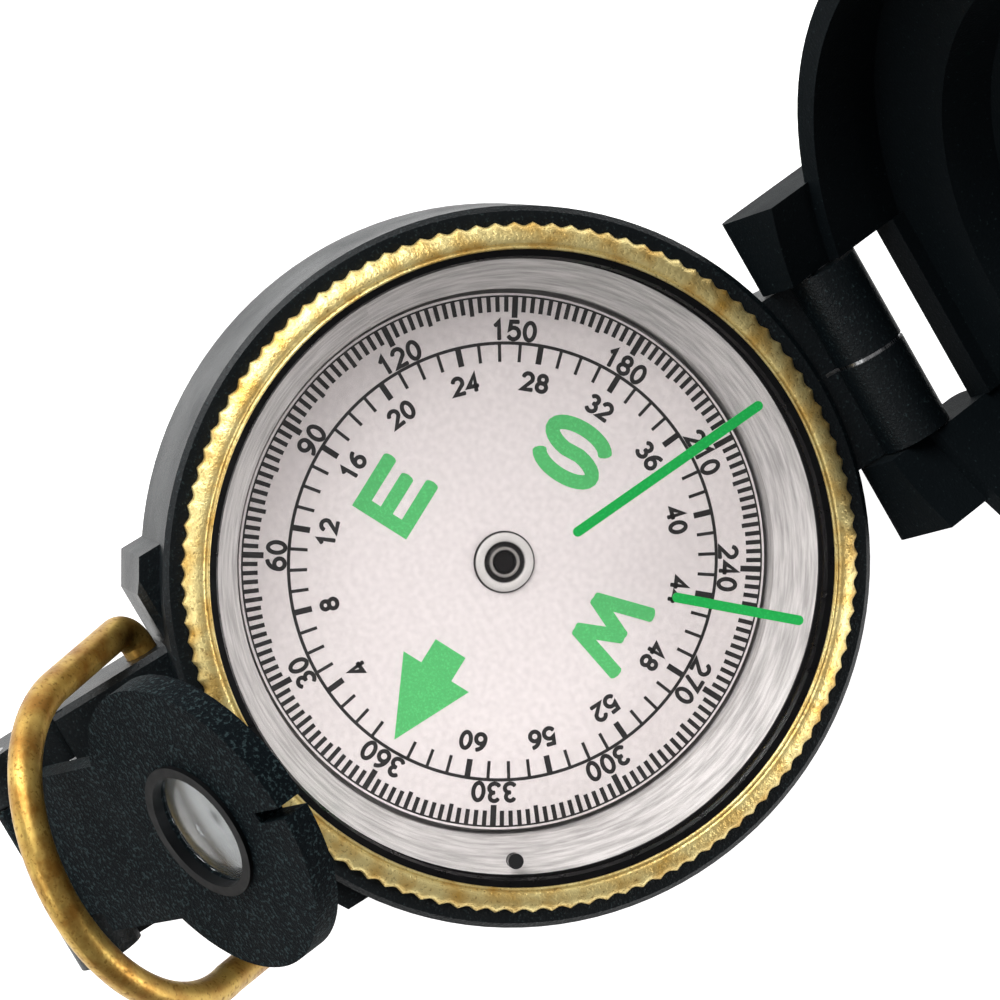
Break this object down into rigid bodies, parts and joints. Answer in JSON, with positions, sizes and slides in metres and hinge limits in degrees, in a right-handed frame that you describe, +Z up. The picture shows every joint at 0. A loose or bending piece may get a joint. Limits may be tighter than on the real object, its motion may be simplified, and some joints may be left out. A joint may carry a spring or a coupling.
{
  "type": "sighting compass",
  "caption": "Pocket sighting compass: round black case with a turning brass bezel over a floating dial, hinged sighting cover, folding lens eyepiece and wire thumb loop.",
  "frame": {"origin": "middle of the flat underside, straight below the needle pivot, at table level", "axes": "+Z up, +Y towards the cover's hinge, +X to the right when looking from the eyepiece to the cover"},
  "size_m": [0.0624, 0.1112, 0.0661],
  "materials": {
    "case_enamel": "fine crinkle",
    "cover_enamel": "fine crinkle",
    "bracket_enamel": "coarse crinkle",
    "base_plastic": "satin",
    "screw_steel": "satin",
    "capsule_aluminium": "bright",
    "gasket_rubber": "matt",
    "capsule_glass": "polished",
    "plug_rubber": "matt",
    "pivot_steel": "polished",
    "washer_plastic": "matt",
    "spring_steel": "satin",
    "pin_steel": "satin",
    "washer_steel": "bright",
    "dial_enamel": "satin",
    "magnet_steel": "ground",
    "hub_metal": "polished",
    "jewel": "polished",
    "bezel_brass": "turned",
    "crystal": "polished",
    "retainer_black": "gloss",
    "luminous_paint": "matt",
    "wire_steel": "drawn",
    "wire_plug": "satin",
    "lens_glass": "polished",
    "lens_ring_black": "gloss",
    "loop_brass": "tarnished"
  },
  "bodies": {
    "case": {"case_body": "case_enamel", "base_plate": "base_plastic", "base_screws": "screw_steel", "capsule_bowl": "capsule_aluminium", "capsule_gasket": "gasket_rubber", "capsule_glass": "capsule_glass", "filler_plug": "plug_rubber", "pivot_post": "pivot_steel", "bezel_washer": "washer_plastic", "bezel_snap_ring": "spring_steel", "cover_hinge_pin": "pin_steel", "hinge_washer": "washer_steel", "eyepiece_pin": "pin_steel"},
    "dial": {"dial_card": "dial_enamel", "dial_magnet": "magnet_steel", "dial_hub": "hub_metal", "pivot_jewel": "jewel"},
    "bezel": {"bezel_ring": "bezel_brass", "bezel_crystal": "crystal", "crystal_retainer": "retainer_black", "luminous_line_long": "luminous_paint", "luminous_line_short": "luminous_paint"},
    "cover": {"cover_shell": "cover_enamel", "sight_wire": "wire_steel", "sight_wire_plugs": "wire_plug"},
    "eyepiece": {"eyepiece_bracket": "bracket_enamel", "eyepiece_lens": "lens_glass", "lens_retainer": "lens_ring_black"},
    "loop": {"thumb_loop": "loop_brass"}
  },
  "joints": [
    {"name": "cover_hinge", "type": "hinge", "parent": "case", "child": "cover", "pos_m": [0, 0.0321, 0.0105], "axis": [-1, 0, 0], "range_deg": [-115, 17]},
    {"name": "eyepiece_hinge", "type": "hinge", "parent": "case", "child": "eyepiece", "pos_m": [0, -0.0416, 0.01], "axis": [1, 0, 0], "range_deg": [-51.2, 7.7]},
    {"name": "loop_hinge", "type": "hinge", "parent": "case", "child": "loop", "pos_m": [0, -0.0277, 0.006], "axis": [-1, 0, 0], "range_deg": [-140, 1]},
    {"name": "bezel_turn", "type": "hinge", "parent": "case", "child": "bezel", "pos_m": [0, 0, 0.0125], "axis": [0, 0, 1], "continuous": true},
    {"name": "dial_turn", "type": "hinge", "parent": "case", "child": "dial", "pos_m": [0, 0, 0.0067], "axis": [0, 0, 1], "continuous": true}
  ],
  "couplings": [
    {"joint": "eyepiece_hinge", "follows": "cover_hinge", "ratio": 0.44348}
  ]
}
